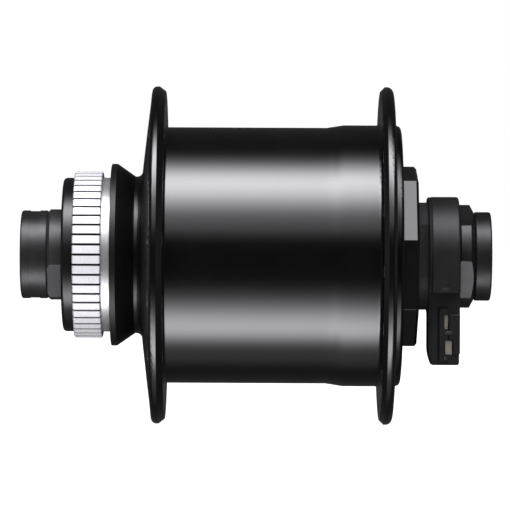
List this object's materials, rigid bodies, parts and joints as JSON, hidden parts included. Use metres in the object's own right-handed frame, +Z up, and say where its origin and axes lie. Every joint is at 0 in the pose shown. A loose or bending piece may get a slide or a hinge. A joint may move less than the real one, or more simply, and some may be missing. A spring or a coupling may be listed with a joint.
{
  "type": "front hub dynamo",
  "caption": "Front bicycle hub with a built-in generator, for a splined disc brake and a through axle. It carries the wheel and feeds the lamps through its side connector.",
  "frame": {"origin": "on the axle's centre line, halfway between the two fork faces", "axes": "+Y along the axle to the disc side (the bicycle's left), +Z up, +X forwards"},
  "size_m": [0.072, 0.1, 0.072],
  "materials": {
    "steel": "machined, zinc plated",
    "hard_steel": "ground and polished",
    "black_steel": "black oxide, satin",
    "ball_steel": "polished",
    "cage_steel": "stamped",
    "black_turned": "black anodised, fine turned satin",
    "black_anodised": "black anodised, polished",
    "bare_aluminium": "machined bright",
    "connector_plastic": "moulded, fine texture",
    "contact_metal": "tinned brass strip",
    "lead_sheath": "insulated lead",
    "iron": "pressed soft iron",
    "bobbin_plastic": "moulded nylon",
    "copper_winding": "enamelled copper wire, wound in layers",
    "magnet_ceramic": "sintered, ground",
    "rubber": "moulded"
  },
  "bodies": {
    "axle_assembly": {"axle": "steel", "left_end_cap": "black_turned", "left_lock_nut": "black_turned", "left_spacer": "steel", "left_cone": "hard_steel", "right_cone": "black_steel", "right_lock_nut": "black_turned", "right_end_cap": "black_turned", "connector_back_plate": "connector_plastic", "connector_body": "connector_plastic", "upper_contact": "contact_metal", "lower_contact": "contact_metal", "lead_wires": "lead_sheath", "stator_core": "iron", "stator_yoke_left": "iron", "stator_yoke_right": "iron", "coil_bobbin": "bobbin_plastic", "coil_winding": "copper_winding", "stator_washer_left": "steel", "stator_washer_right": "steel", "stator_nut": "steel"},
    "hub_shell_assembly": {"hub_shell": "black_anodised", "disc_mount_sleeve": "bare_aluminium", "disc_mount_collar": "black_anodised", "side_cover": "black_anodised", "cover_o_ring": "rubber", "rotor_yoke": "iron", "rotor_magnets": "magnet_ceramic", "left_cup": "hard_steel", "right_cup": "hard_steel", "left_dust_cap": "rubber", "right_dust_cap": "rubber"},
    "left_ball_set": {"left_balls": "ball_steel", "left_ball_cage": "cage_steel"},
    "right_ball_set": {"right_balls": "ball_steel", "right_ball_cage": "cage_steel"}
  },
  "joints": [
    {"name": "hub_spin", "type": "hinge", "parent": "axle_assembly", "child": "hub_shell_assembly", "pos_m": [0, 0, 0], "axis": [0, 1, 0], "continuous": true},
    {"name": "left_ball_orbit", "type": "hinge", "parent": "axle_assembly", "child": "left_ball_set", "pos_m": [0, 0.0234, 0], "axis": [0, 1, 0], "continuous": true},
    {"name": "right_ball_orbit", "type": "hinge", "parent": "axle_assembly", "child": "right_ball_set", "pos_m": [0, -0.0288, 0], "axis": [0, 1, 0], "continuous": true}
  ],
  "couplings": [
    {"joint": "left_ball_orbit", "follows": "hub_spin", "ratio": 0.5725},
    {"joint": "right_ball_orbit", "follows": "hub_spin", "ratio": 0.5647}
  ]
}
